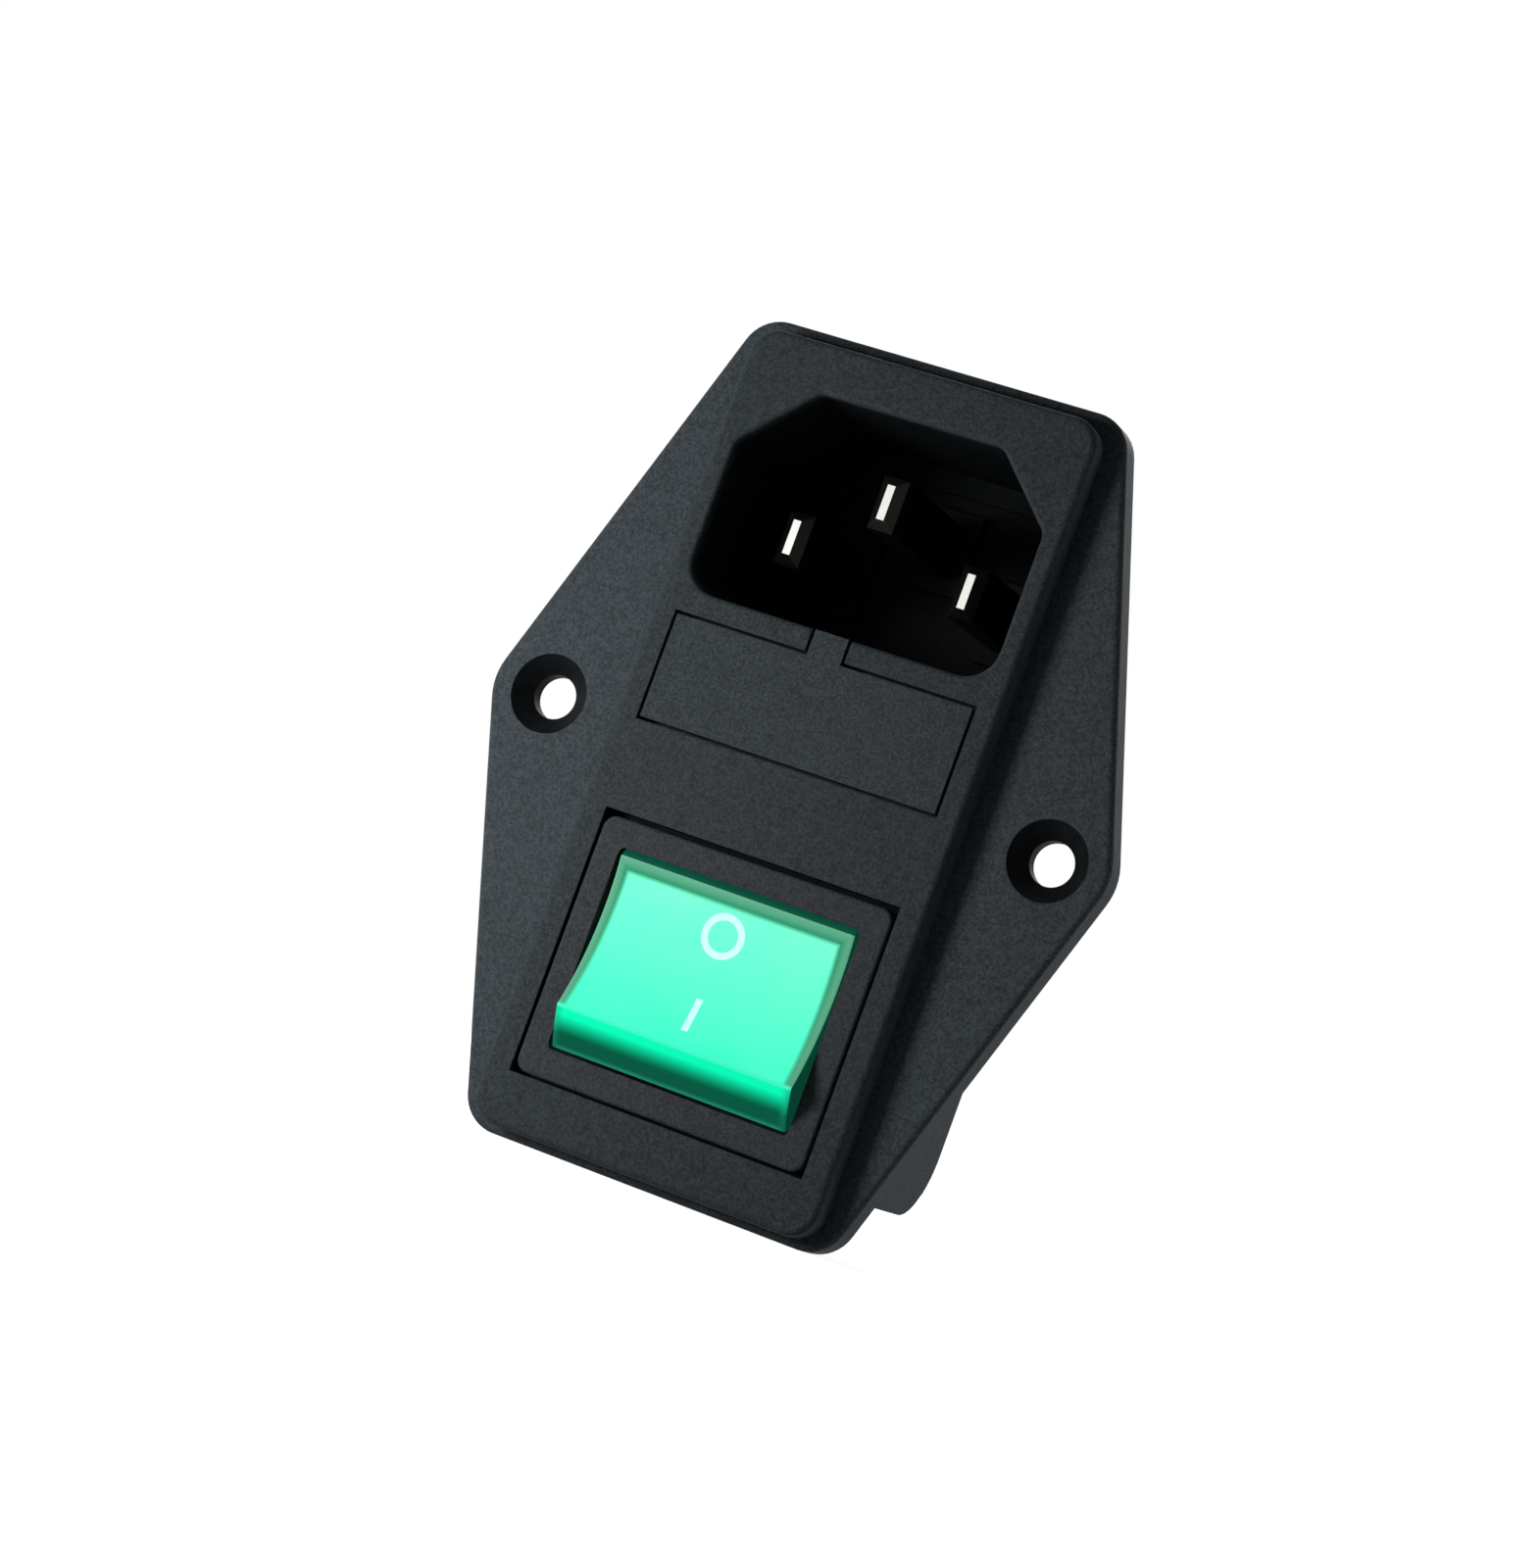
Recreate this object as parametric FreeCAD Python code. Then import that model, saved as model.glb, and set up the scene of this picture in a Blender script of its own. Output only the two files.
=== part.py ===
"""Panel power entry module: mains inlet, fuse drawer and lit rocker switch in one housing.

Millimetres. X runs across the panel, Y into it and Z up it, so the face that is seen looks
towards -Y. The origin lies on the panel's face, midway between the two screw holes.
"""
import FreeCAD, Part
import math
import os

V = FreeCAD.Vector

# Mains inlet
inlet_width = 24.3
inlet_height = 16.3
inlet_chamfer = 5.0
inlet_corner = 2.5
inlet_bend = 1.1
inlet_rim = 0.35
well_depth = 16.5
well_floor_thick = 1.5
insert_thick = 3.5
insert_step = 1.6
insert_inset = 0.6
pad_height = 0.8
pad_margin = 1.2
collar_height = 1.0
collar_margin = 1.0

# Pins
pin_spread = 14.0
pin_drop = 1.9
earth_rise = 4.0
pin_wide = 2.0
pin_tall = 4.0
pin_set_back = 3.7
earth_set_back = 0.9
pin_point = 0.7
line_side = -1

# Quick-connect tabs
tab_wide = 4.8
tab_thick = 0.8
tab_reach = 8.2
tab_hole = 1.4
tab_hole_back = 3.4
tab_point = 1.0

# Fuses
fuse_dia = 5.2
fuse_length = 20.0
cap_length = 5.0
cap_wall = 0.25
glass_wall = 0.5
element_dia = 0.4

# Fuse drawer
fuse_end = 2.0
drawer_width = fuse_length + 2 * fuse_end
drawer_height = 8.35
groove = 0.25
drawer_plate = 1.5
drawer_ledge = 0.4
drawer_wall = 0.9
drawer_slack = 0.2
pull_width = 3.15
cradle_room = 1.3
cradle_gap = 2.0
cradle_wrap = 1.0
cradle_mouth = 0.15

# Fuse clips
clip_thick = 0.4
clip_wide = 3.4
clip_inset = 0.3
clip_lip = 0.8
clip_flare = 0.45
clip_room = 1.2
link_wide = 3.0

# Rocker
rocker_width = 18.7
rocker_radius = 11.25
rocker_depth = 8.55
rocker_edge_angle = 31.0
rocker_skirt_angle = 49.0
rocker_dish = 1.1
rocker_tilt = 8.0
rocker_gap = 0.2
rocker_side_gap = 0.3
lens_wall = 0.9
lens_edge = 0.2
lens_foot_drop = 0.78
lens_foot_in = 0.34
body_foot_v = 1.0
body_foot_in = 3.95
body_end_wall = 1.1
body_roof = 1.0
carrier_drop = 1.4
carrier_half = 4.0
pivot_dia = 2.6
pivot_end_gap = 0.2

# Switch frame and case
opening_depth = 3.9
opening_corner = 0.4
case_side = 1.25
case_tuck = 1.65
case_wall = 0.8
case_depth = 21.0
case_floor = 1.6
barrier_thick = 1.0
barrier_reach = 1.5
frame_lip = 0.85
frame_lap = 0.425
frame_gap = 0.22
frame_gap_top = 0.4
frame_thick = 1.6
frame_corner = 1.0
frame_edge = 0.25
snap_reach = 0.6
snap_run = 3.5
snap_wide = 6.0
case_width = rocker_width + 2 * rocker_side_gap + 2 * case_side
case_height = 2 * (rocker_radius - case_tuck)
recess_width = case_width + 2 * frame_lip
recess_height = case_height + 2 * frame_lap

# Contacts and lamp under the rocker
pole_spread = 11.0
plunger_dia = 2.8
plunger_reach = 6.75
plunger_shoulder = 1.0
stud_dia = 1.2
stud_reach = 0.8
socket_wall = 0.75
socket_drop = 1.6
socket_foot = 3.0
spring_wire = 0.4
spring_turns = 5
spring_points = 8
bridge_half = 5.8
bridge_wide = 4.2
bridge_thick = 0.6
bridge_tilt = 7.0
bridge_rest = 0.1
contact_arm = 4.6
contact_dia = 2.6
contact_thick = 0.5
contact_gap = 0.2
load_arm = 6.6
lamp_dia = 4.0
lamp_length = 11.0
lamp_seat_height = 2.0
lead_dia = 0.5
lead_half = 0.9
resistor_dia = 1.8
resistor_length = 3.2

# Plinth, from its foot to its head
foot_margin = 4.075
switch_to_drawer = 6.67
drawer_to_inlet = 1.705
head_margin = 3.65
side_margin = 1.6
plinth_low = 0.2
plinth_corner = 2.2
plinth_rise = 2.0
plinth_edge = 0.5
plinth_width = max(inlet_width, drawer_width, recess_width) + 2 * side_margin
plinth_height = (foot_margin + recess_height + switch_to_drawer + drawer_height
                 + drawer_to_inlet + inlet_height + head_margin)

# Flange
hole_pitch = 40.0
screw_hole = 3.3
screw_sink = 5.9
ear_radius = 4.6
border_end = 0.85
border_side = 0.75
flange_height = plinth_height + 2 * border_end
flange_flat = plinth_width + 2 * border_side
flange_corner = 3.0
flange_thick = 2.5
flange_edge = 0.45

# Shell behind the panel
shell_wall = 1.35
shell_cheek = 0.8
shell_skirt = 1.8
shell_lip = 1.6
shell_round = 5.0
tube_edge = 1.0
web = 1.4
shell_width = max(inlet_width, drawer_width, case_width) + 2 * shell_wall

# Fits, and how far shapes that are joined or cut away run past each other
seat = 0.05
running = 0.05
weld = 0.2
past = 1.0

# Heights that several pieces share
inlet_high = plinth_height / 2 - plinth_low - head_margin
inlet_low = inlet_high - inlet_height
inlet_centre = (inlet_high + inlet_low) / 2
pin_line = inlet_centre - pin_drop
drawer_high = inlet_low - drawer_to_inlet
drawer_low = drawer_high - drawer_height
drawer_centre = (drawer_high + drawer_low) / 2
tunnel_high = drawer_high - drawer_ledge
tunnel_low = drawer_low + drawer_ledge
recess_top = drawer_low - switch_to_drawer
switch_centre = recess_top - recess_height / 2
bay_high = switch_centre + case_height / 2 + seat
shell_top = tunnel_high + web
shell_bottom = case_height / 2 - switch_centre + shell_cheek

# Depths that several pieces share
face = -(flange_thick + plinth_rise)
well_floor = face + well_depth
tube_depth = well_floor + well_floor_thick
insert_back = well_floor + insert_thick
link_front = insert_back + seat
recess_floor = face + frame_thick
case_back = face + case_depth
case_inside = case_back - case_floor
shell_depth = case_back + shell_skirt
pivot_y = face + rocker_depth
plate_back = face + drawer_plate
spare_y = plate_back + drawer_wall + fuse_dia / 2 + drawer_slack
tray_back = spare_y + fuse_dia / 2 + drawer_slack + drawer_wall
fuse_y = tray_back + clip_lip + fuse_dia / 2
tunnel_back = fuse_y + fuse_dia / 2 + clip_thick + clip_room
strip_end = tunnel_back + web
fulcrum_y = pivot_y + plunger_reach + bridge_rest + bridge_thick + running + tab_thick / 2
bridge_under = fulcrum_y - tab_thick / 2 - running
clip_x = fuse_length / 2 - clip_inset - clip_wide / 2
cradle_half = clip_x - clip_wide / 2 - cradle_room
roof_v = (rocker_radius * math.cos(math.radians(rocker_edge_angle))
          - rocker_dish - lens_wall - seat - body_roof)
socket_floor = roof_v - socket_drop


def block(x0, x1, y0, y1, z0, z1):
    return Part.makeBox(x1 - x0, y1 - y0, z1 - z0, V(x0, y0, z0))


def centred(width, y0, y1, z0, z1, x=0.0):
    return block(x - width / 2, x + width / 2, y0, y1, z0, z1)


def rod(radius, start, axis, length):
    return Part.makeCylinder(radius, length, start, axis)


def prism_y(outline, y0, y1):
    """Extrudes an outline of (x, z) points from depth y0 to depth y1."""
    points = [V(x, y0, z) for x, z in outline]
    loop = Part.makePolygon(points + points[:1])
    return Part.Face(loop).extrude(V(0, y1 - y0, 0))


def edges_along(shape, axis, keep=lambda middle: True):
    """Straight edges that run along one axis and whose middle the test keeps."""
    found = []
    for edge in shape.Edges:
        if len(edge.Vertexes) != 2:
            continue
        span = edge.Vertexes[1].Point - edge.Vertexes[0].Point
        across = span - axis * span.dot(axis)
        middle = edge.CenterOfMass
        if span.Length > 1e-6 and across.Length < 1e-6 and keep(middle):
            found.append(edge)
    return found


def edges_at_depth(shape, depth):
    return [e for e in shape.Edges
            if abs(e.BoundBox.YMin - depth) < 1e-4 and abs(e.BoundBox.YMax - depth) < 1e-4]


def rounded_block(width, y0, y1, z0, z1, radius):
    solid = centred(width, y0, y1, z0, z1)
    return solid.makeFillet(radius, edges_along(solid, V(0, 1, 0)))


def turned(shape, angle, depth, height):
    """Turns a shape about an axis along X at the given depth and height."""
    copy = shape.copy()
    copy.rotate(V(0, depth, height), V(1, 0, 0), angle)
    return copy


# Housing

def flange():
    """Six-sided plate whose two ears are rounded about the screw holes."""
    side = hole_pitch / 2 - flange_flat / 2
    half = flange_height / 2
    lean = math.atan2(side, half) + math.asin(ear_radius / math.hypot(side, half))
    tip = flange_flat / 2 + half * math.tan(lean)
    flat = flange_flat / 2
    outline = [(-flat, half), (flat, half), (tip, 0), (flat, -half), (-flat, -half), (-tip, 0)]
    plate = prism_y(outline, -flange_thick, 0)
    along = V(0, 1, 0)
    plate = plate.makeFillet(ear_radius, edges_along(plate, along, lambda m: abs(m.z) < 1e-6))
    corners = edges_along(plate, along, lambda m: abs(m.z) > half - 1e-6)
    plate = plate.makeFillet(flange_corner, corners)
    return plate.makeFillet(flange_edge, edges_at_depth(plate, -flange_thick))


def plinth():
    half = plinth_height / 2
    raised = rounded_block(plinth_width, face, 0, -half - plinth_low, half - plinth_low, plinth_corner)
    return raised.makeFillet(plinth_edge, edges_at_depth(raised, face))


def well_plug(grow, y0, y1):
    """The inlet's outline, flat at the foot and with two cut corners at the top."""
    half = inlet_width / 2 + grow
    low = inlet_low - grow
    high = inlet_high + grow
    cut = inlet_chamfer + grow * (2 - math.sqrt(2))
    outline = [(-half, low), (half, low), (half, high - cut), (half - cut, high),
               (cut - half, high), (-half, high - cut)]
    plug = prism_y(outline, y0, y1)
    along = V(0, 1, 0)
    plug = plug.makeFillet(inlet_corner + grow, edges_along(plug, along, lambda m: m.z < low + 1e-6))
    bends = edges_along(plug, along, lambda m: m.z > high - cut - 1e-6)
    return plug.makeFillet(inlet_bend, bends)


def screw_hole_cut(side):
    """A clearance hole with its countersink."""
    axis = V(0, 1, 0)
    x = side * hole_pitch / 2
    hole = rod(screw_hole / 2, V(x, -flange_thick - past, 0), axis, flange_thick + 2 * past)
    sink_depth = (screw_sink - screw_hole) / 2
    sink = Part.makeCone(screw_sink / 2, screw_hole / 2, sink_depth, V(x, -flange_thick, 0), axis)
    return hole.fuse(sink)


def shell():
    """The switch's cheeks, the drawer's shallower part and the tube round the inlet's well."""
    cheeks = centred(shell_width, 0, shell_depth, -shell_bottom, bay_high + web)
    foot = edges_along(cheeks, V(1, 0, 0), lambda m: m.y > shell_depth - 1e-6 and m.z < -shell_bottom + 1e-6)
    cheeks = cheeks.makeFillet(shell_round, foot)
    middle = centred(shell_width, 0, strip_end + shell_lip, bay_high, shell_top)
    tube = well_plug(shell_wall, 0, tube_depth)
    tube = tube.makeFillet(tube_edge, edges_at_depth(tube, tube_depth))
    return cheeks.fuse([middle, tube])


def drawer_cuts():
    """The drawer's front, its pull tab, the tunnel behind them and the clips' passages."""
    tunnel_width = drawer_width - 2 * drawer_ledge
    inside = shell_width - 2 * shell_wall
    cuts = [centred(drawer_width, face - past, plate_back + seat, drawer_low, drawer_high),
            centred(pull_width, face - past, plate_back + seat, drawer_high - weld, inlet_low + past),
            centred(tunnel_width, face, tunnel_back, tunnel_low, tunnel_high),
            centred(inside, strip_end, shell_depth + past, tunnel_low, tunnel_high)]
    for side in (-1, 1):
        cuts.append(centred(clip_wide + 2 * seat, tunnel_back - past, strip_end + past,
                            drawer_centre - tab_thick / 2 - seat, drawer_centre + tab_thick / 2 + seat,
                            side * clip_x))
    return cuts


def switch_cuts():
    """The recess that the switch's frame lies in and the bay for its case."""
    inside = shell_width - 2 * shell_wall
    bay = case_width + 2 * seat
    bay_bottom = switch_centre - case_height / 2 - seat
    below = -shell_bottom - past
    return [centred(recess_width, face - past, recess_floor, recess_top - recess_height, recess_top),
            centred(bay, face, shell_depth + past, bay_bottom, bay_high),
            centred(bay, 0, shell_depth + past, below, bay_high),
            centred(inside, flange_thick, shell_depth + past, below, bay_high),
            centred(inside, face + web, shell_depth + past, bay_high + web, tunnel_low - web)]


def housing():
    body = flange().fuse([plinth(), shell()]).removeSplitter()
    body = body.cut(well_plug(0, face - past, well_floor))
    rim = [e for e in edges_at_depth(body, face)
           if e.BoundBox.ZMin > inlet_low - 1e-3 and e.BoundBox.ZMax < inlet_high + 1e-3]
    body = body.makeFillet(inlet_rim, rim)
    cuts = [well_plug(-insert_step, well_floor - past, tube_depth + past)]
    cuts += drawer_cuts() + switch_cuts()
    cuts += [screw_hole_cut(side) for side in (-1, 1)]
    return body.cut(cuts).removeSplitter()


# Inlet

def pin_places():
    """Name, X and Z of each pin."""
    half = pin_spread / 2
    return {"line_pin": (line_side * half, pin_line),
            "neutral_pin": (-line_side * half, pin_line),
            "earth_pin": (0.0, pin_line + earth_rise)}


def inlet_insert():
    """Block that carries the pins: its boss fills the opening in the well's floor."""
    boss = well_plug(-insert_step - seat, well_floor, tube_depth + weld)
    plate = well_plug(-insert_inset, tube_depth + seat, insert_back)
    raised = [plate]
    slots = []
    for name, (x, z) in pin_places().items():
        wide = pin_wide + 2 * pad_margin
        tall = pin_tall + 2 * pad_margin
        raised.append(centred(wide, well_floor - pad_height, well_floor + weld, z - tall / 2, z + tall / 2, x))
        slots.append(centred(pin_wide + 2 * seat, well_floor - 2 * pad_height, insert_back + past,
                             z - pin_tall / 2 - seat, z + pin_tall / 2 + seat, x))
        if name != "line_pin":
            wide = tab_thick + 2 * collar_margin
            tall = tab_wide + 2 * collar_margin
            raised.append(centred(wide, insert_back - weld, insert_back + collar_height,
                                  z - tall / 2, z + tall / 2, x))
            slots.append(centred(tab_thick + 2 * seat, insert_back, insert_back + collar_height + past,
                                 z - tab_wide / 2 - seat, z + tab_wide / 2 + seat, x))
    return boss.fuse(raised).cut(slots).removeSplitter()


def quick_tab(y0, across):
    """A flat tab on the Y axis, its width along X or Z, with a bevelled tip and a latch hole."""
    half = tab_wide / 2
    end = y0 + tab_reach
    outline = [V(-half, y0, 0), V(half, y0, 0), V(half, end - tab_point, 0),
               V(half - tab_point, end, 0), V(tab_point - half, end, 0), V(-half, end - tab_point, 0)]
    sheet = Part.Face(Part.makePolygon(outline + outline[:1])).extrude(V(0, 0, tab_thick))
    sheet.translate(V(0, 0, -tab_thick / 2))
    hole = rod(tab_hole / 2, V(0, end - tab_hole_back, -tab_thick), V(0, 0, 1), 2 * tab_thick)
    sheet = sheet.cut(hole)
    if across == "z":
        sheet.rotate(V(0, 0, 0), V(0, 1, 0), 90)
    return sheet


def pin(x, z, set_back, tail):
    """A flat blade with a bevelled point, and behind the insert a tab or a short stub."""
    front = face + set_back
    blade = centred(pin_wide, front, insert_back, z - pin_tall / 2, z + pin_tall / 2, x)
    tip = [e for e in edges_at_depth(blade, front)]
    blade = blade.makeChamfer(pin_point, tip)
    if tail == "tab":
        rear = quick_tab(insert_back, "z")
        rear.translate(V(x, 0, z))
    else:
        rear = rod(pin_wide / 2, V(x, insert_back, z), V(0, 1, 0), 2 * tab_thick)
    return blade.fuse(rear).removeSplitter()


# Fuses and their clips

def fuse_parts(y):
    """A glass tube, two end caps and the wire between them, lying along X."""
    along = V(1, 0, 0)
    half = fuse_length / 2
    outer = fuse_dia / 2
    tube_outer = outer - cap_wall
    start = V(-half + cap_wall, y, drawer_centre)
    tube = rod(tube_outer, start, along, fuse_length - 2 * cap_wall)
    tube = tube.cut(rod(tube_outer - glass_wall, start, along, fuse_length - 2 * cap_wall))
    wire = rod(element_dia / 2, start, along, fuse_length - 2 * cap_wall)
    caps = []
    for side in (-1, 1):
        cup = rod(outer, V(side * half, y, drawer_centre), V(-side, 0, 0), cap_length)
        hollow = rod(tube_outer, V(side * (half - cap_wall), y, drawer_centre), V(-side, 0, 0), cap_length)
        caps.append(cup.cut(hollow))
    return tube, caps[0], caps[1], wire


def fuse_clip(side, tail):
    """Two spring jaws that the fuse's cap slides between, with a strip to the rear."""
    x0 = side * clip_x - clip_wide / 2
    x1 = x0 + clip_wide
    inner = fuse_dia / 2 + running
    outer = inner + clip_thick
    along = V(1, 0, 0)
    centre = V(x0, fuse_y, drawer_centre)
    ring = rod(outer, centre, along, clip_wide).cut(rod(inner, centre, along, clip_wide))
    ring = ring.cut(block(x0, x1, fuse_y - 2 * outer, fuse_y,
                          drawer_centre - 2 * outer, drawer_centre + 2 * outer))
    front = fuse_y - fuse_dia / 2 - clip_lip / 2
    low = drawer_centre - tab_thick / 2
    high = drawer_centre + tab_thick / 2
    added = [block(x0, x1, fuse_y + inner + clip_thick / 2, strip_end, low, high)]
    for way in (-1, 1):
        z0, z1 = sorted((drawer_centre + way * inner, drawer_centre + way * outer))
        added.append(block(x0, x1, front, fuse_y, z0, z1))
        z0, z1 = sorted((drawer_centre + way * inner, drawer_centre + way * (outer + clip_flare)))
        added.append(block(x0, x1, front, front + clip_thick, z0, z1))
    if tail == "tab":
        rear = quick_tab(strip_end, "x")
        rear.translate(V(side * clip_x, 0, drawer_centre))
    else:
        rear = block(x0, x1, strip_end, link_front - seat, low, high)
    return ring.fuse(added + [rear]).removeSplitter()


def fuse_link():
    """The strip behind the insert that joins the line pin to its fuse clip."""
    x, z = pin_places()["line_pin"]
    back = link_front + tab_thick
    strip = centred(link_wide, link_front, back, drawer_centre - tab_thick / 2, z + link_wide / 2, x)
    hole = rod(pin_wide / 2 + seat, V(x, link_front - past, z), V(0, 1, 0), tab_thick + 2 * past)
    return strip.cut(hole)


def fuse_drawer():
    """Front plate with its pull tab, a tray for the spare and a cradle for the fuse in use."""
    half_height = drawer_height / 2 - groove
    plate = centred(drawer_width - 2 * groove, face, plate_back,
                    drawer_centre - half_height, drawer_centre + half_height)
    pull = centred(pull_width - 2 * groove, face, plate_back, drawer_centre, inlet_low)
    low = tunnel_low + drawer_slack
    high = tunnel_high - drawer_slack
    tray_width = drawer_width - 2 * drawer_ledge - 2 * drawer_slack
    tray = centred(tray_width, plate_back - weld, tray_back, low, high)
    well_half = fuse_dia / 2 + drawer_slack
    floor = drawer_centre - fuse_dia / 2 - seat
    spare_bay = centred(fuse_length + 2 * seat, spare_y - well_half, spare_y + well_half, floor, high + past)
    cradle_back = fuse_y + fuse_dia / 2 + cradle_wrap
    cradle = centred(2 * cradle_half, tray_back - weld, cradle_back, low, drawer_centre + cradle_wrap)
    nest = rod(fuse_dia / 2 + seat, V(-fuse_length, fuse_y, drawer_centre), V(1, 0, 0), 2 * fuse_length)
    mouth_half = fuse_dia / 2 - cradle_mouth
    mouth = centred(2 * cradle_half, fuse_y - mouth_half, fuse_y + mouth_half, drawer_centre, high + past)
    gap = centred(2 * cradle_gap, tray_back, cradle_back + past, floor, high + past)
    body = plate.fuse([pull, tray, cradle])
    return body.cut([spare_bay, nest, mouth, gap]).removeSplitter()


# Switch

def switch_case():
    """Frame round the rocker and the open-fronted case behind it, moulded as one piece."""
    low = recess_top - recess_height + frame_gap
    high = recess_top - frame_gap_top
    frame = rounded_block(recess_width - 2 * frame_gap, face, recess_floor, low, high, frame_corner)
    frame = frame.makeFillet(frame_edge, edges_at_depth(frame, face))
    half = case_height / 2
    case = centred(case_width, recess_floor - weld, case_back, switch_centre - half, switch_centre + half)
    barrier = centred(barrier_thick, case_back - weld, case_back + barrier_reach,
                      switch_centre - half, switch_centre + half)
    body = frame.fuse([case, barrier] + [snap_wedge(side) for side in (-1, 1)])

    inner_width = case_width - 2 * case_side
    sweep = rod(rocker_radius + rocker_gap, V(-inner_width / 2, pivot_y, switch_centre), V(1, 0, 0), inner_width)
    sweep = sweep.makeFillet(opening_corner, [e for e in sweep.Edges if e.BoundBox.XLength < 1e-6])
    sweep = sweep.common(centred(inner_width, face - rocker_radius, face + opening_depth,
                                 switch_centre - 2 * rocker_radius, switch_centre + 2 * rocker_radius))
    hollow = centred(inner_width, recess_floor, case_inside,
                     switch_centre - half + case_wall, switch_centre + half - case_wall)
    bearing = rod(pivot_dia / 2 + running, V(-case_width, pivot_y, switch_centre), V(1, 0, 0), 2 * case_width)
    body = body.cut([sweep, hollow, bearing]).fuse(lamp_seat())
    slots = []
    for side in (-1, 1):
        for arm in (0.0, load_arm):
            z = switch_centre + arm
            slots.append(centred(tab_wide + 2 * seat, case_inside - past, case_back + past,
                                 z - tab_thick / 2 - seat, z + tab_thick / 2 + seat,
                                 side * pole_spread / 2))
    return body.cut(slots).removeSplitter()


def snap_wedge(side):
    """Barb on the case's side that holds it behind the flange."""
    root = side * (case_width / 2 - weld)
    start = flange_thick + seat
    outline = [V(root, start, 0), V(side * (case_width / 2 + snap_reach), start, 0), V(root, start + snap_run, 0)]
    wedge = Part.Face(Part.makePolygon(outline + outline[:1])).extrude(V(0, 0, snap_wide))
    wedge.translate(V(0, 0, switch_centre - snap_wide / 2))
    return wedge


def lamp_seat():
    """Boss on the case's floor with two grooves for the lamp's leads."""
    top = case_inside - lamp_seat_height
    radius = lamp_dia / 2 + socket_wall
    boss = rod(radius, V(0, top, switch_centre), V(0, 1, 0), lamp_seat_height + weld)
    wide = lead_dia + 2 * seat
    grooves = [centred(wide, top - past, case_inside, switch_centre - wide / 2, switch_centre + radius + past,
                       side * lead_half) for side in (-1, 1)]
    return boss.cut(grooves)


def polar(radius, angle):
    """Point of the rocker's section: U across it and V above the pivot, the angle from upright."""
    turn = math.radians(angle)
    return radius * math.sin(turn), radius * math.cos(turn)


def rocker_point(u, v, x):
    return V(x, pivot_y - v, switch_centre + u)


def rocker_slab(inset, width, foot_u, foot_v):
    """The rocker's section, dished on top and round about its pivot at both ends."""
    radius = rocker_radius - inset
    edge_v = polar(rocker_radius, rocker_edge_angle)[1] - inset
    edge_u = math.sqrt(radius ** 2 - edge_v ** 2)
    skirt_u, skirt_v = polar(radius, rocker_skirt_angle)
    bend_u, bend_v = polar(radius, (rocker_skirt_angle + math.degrees(math.atan2(edge_u, edge_v))) / 2)
    x = -width / 2

    def at(u, v):
        return rocker_point(u, v, x)

    rim = [Part.Arc(at(-skirt_u, skirt_v), at(-bend_u, bend_v), at(-edge_u, edge_v)).toShape(),
           Part.Arc(at(-edge_u, edge_v), at(0, edge_v - rocker_dish), at(edge_u, edge_v)).toShape(),
           Part.Arc(at(edge_u, edge_v), at(bend_u, bend_v), at(skirt_u, skirt_v)).toShape()]
    foot = [at(skirt_u, skirt_v), at(foot_u, foot_v), at(-foot_u, foot_v), at(-skirt_u, skirt_v)]
    sides = [Part.makeLine(foot[i], foot[i + 1]) for i in range(3)]
    return Part.Face(Part.Wire(rim + sides)).extrude(V(width, 0, 0))


def rocker_lens():
    """Clear cap: a shell of even wall over the top, ends and sides of the rocker."""
    skirt_u, skirt_v = polar(rocker_radius, rocker_skirt_angle)
    outer = rocker_slab(0, rocker_width, skirt_u - lens_foot_in, skirt_v - lens_foot_drop)
    skirt_y = pivot_y - skirt_v
    rim = [e for e in outer.Edges if e.BoundBox.YMax < skirt_y + 1e-3 and e.BoundBox.YMin < skirt_y - lens_edge]
    outer = outer.makeFillet(lens_edge, rim)
    inner_u = polar(rocker_radius - lens_wall, rocker_skirt_angle)[0]
    inner = rocker_slab(lens_wall, rocker_width - 2 * lens_wall, inner_u, skirt_v - lens_foot_drop - past)
    return turned(outer.cut(inner), -rocker_tilt, pivot_y, switch_centre)


def rocker_body():
    """Carrier inside the lens: light diffuser, side plates with pivots and plunger sockets."""
    width = rocker_width - 2 * lens_wall - 2 * seat
    foot_u = rocker_radius - body_foot_in
    body = rocker_slab(lens_wall + seat, width, foot_u, body_foot_v)
    plates = centred(rocker_width - 2 * seat, pivot_y - roof_v + carrier_drop, pivot_y + pivot_dia,
                     switch_centre - carrier_half, switch_centre + carrier_half)
    body = body.fuse(plates)
    hollow_wide = width - 2 * lens_wall
    hollow_u = foot_u - body_end_wall
    body = body.cut(centred(hollow_wide, pivot_y - roof_v, pivot_y + rocker_radius,
                            switch_centre - hollow_u, switch_centre + hollow_u))
    pivot_half = case_width / 2 - pivot_end_gap
    pivots = rod(pivot_dia / 2, V(-pivot_half, pivot_y, switch_centre), V(1, 0, 0), 2 * pivot_half)
    pivots = pivots.cut(centred(hollow_wide, pivot_y - pivot_dia, pivot_y + pivot_dia,
                                switch_centre - pivot_dia, switch_centre + pivot_dia))
    sockets = []
    bores = []
    for side in (-1, 1):
        x = side * pole_spread / 2
        root = roof_v + weld
        sockets.append(rod(plunger_dia / 2 + running + socket_wall, V(x, pivot_y - root, switch_centre),
                           V(0, 1, 0), root + socket_foot))
        bores.append(rod(plunger_dia / 2 + running, V(x, pivot_y - socket_floor, switch_centre),
                         V(0, 1, 0), socket_floor + rocker_radius))
    body = body.fuse(sockets + [pivots]).cut(bores).removeSplitter()
    return turned(body, -rocker_tilt, pivot_y, switch_centre)


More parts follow.
